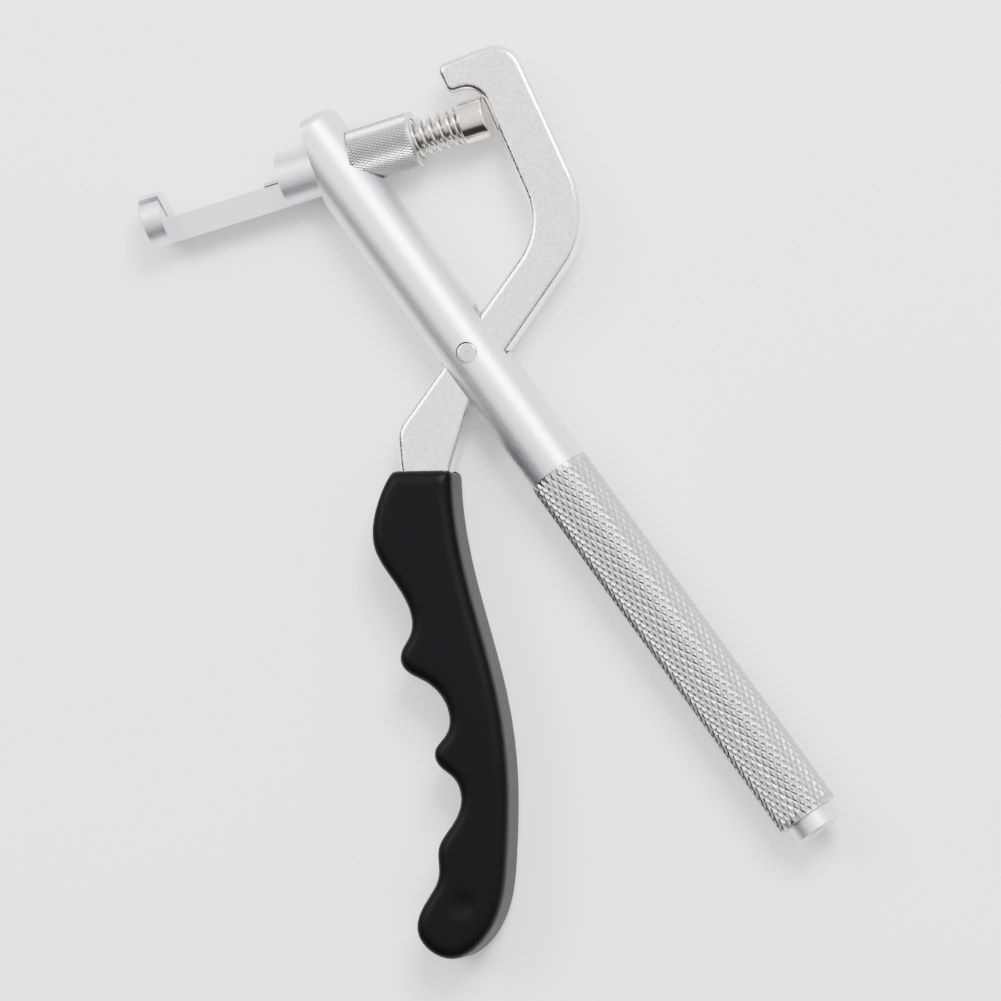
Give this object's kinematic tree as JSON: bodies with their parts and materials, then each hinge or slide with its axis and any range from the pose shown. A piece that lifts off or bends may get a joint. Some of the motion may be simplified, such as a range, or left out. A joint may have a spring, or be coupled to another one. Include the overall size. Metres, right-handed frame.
{
  "type": "bracelet pin pusher pliers",
  "caption": "Hand pliers that push link pins out of a watch bracelet: a lever drives a sprung needle across a notched mandrel on a round handle bar.",
  "frame": {"origin": "the needle's tip at rest, on the needle's axis", "axes": "+X along the needle's axis from its tip towards the push head, +Z along the lever's pivot pin, +Y from the handles towards the mandrel; the tool lies flat in XY"},
  "size_m": [0.0964, 0.1616, 0.013],
  "materials": {
    "satin_aluminium": "bead blasted and clear anodised, satin",
    "nickel_plated_steel": "bright nickel plate over a linished surface",
    "bright_steel": "ground and hardened",
    "spring_steel": "bright nickel plated wire",
    "black_vinyl": "dipped vinyl, semi gloss"
  },
  "bodies": {
    "bar": {"handle_bar": "satin_aluminium", "pivot_pin": "nickel_plated_steel", "spare_needle_1": "bright_steel", "spare_needle_2": "bright_steel", "spare_needle_3": "bright_steel"},
    "lever": {"lever": "nickel_plated_steel", "grip": "black_vinyl"},
    "plunger": {"plunger_rod": "bright_steel", "push_head": "nickel_plated_steel", "needle": "bright_steel"},
    "nut": {"knurled_nut": "satin_aluminium", "return_spring": "spring_steel"},
    "mandrel": {"mandrel": "satin_aluminium"},
    "cap": {"end_cap": "satin_aluminium"}
  },
  "joints": [
    {"name": "lever_squeeze", "type": "hinge", "parent": "bar", "child": "lever", "pos_m": [0.03005, -0.04187, 0], "axis": [0, 0, 1], "range_deg": [0, 11.4], "stiffness_Nm_per_rad": 1.46, "springref_deg": -4.02},
    {"name": "plunger_slide", "type": "slide", "parent": "bar", "child": "plunger", "axis": [-1, 0, 0], "range_m": [0, 0.0085], "deforming": ["return_spring"]},
    {"name": "nut_turn", "type": "hinge", "parent": "bar", "child": "nut", "pos_m": [0.024, 0, 0], "axis": [1, 0, 0], "continuous": true},
    {"name": "mandrel_turn", "type": "hinge", "parent": "bar", "child": "mandrel", "pos_m": [0.0144, 0, 0], "axis": [1, 0, 0], "continuous": true},
    {"name": "cap_turn", "type": "hinge", "parent": "bar", "child": "cap", "pos_m": [0.06718, -0.14116, 0], "axis": [0.3502, -0.9367, 0], "continuous": true}
  ],
  "couplings": [
    {"joint": "plunger_slide", "follows": "lever_squeeze", "m_per_rad": 0.042711}
  ]
}
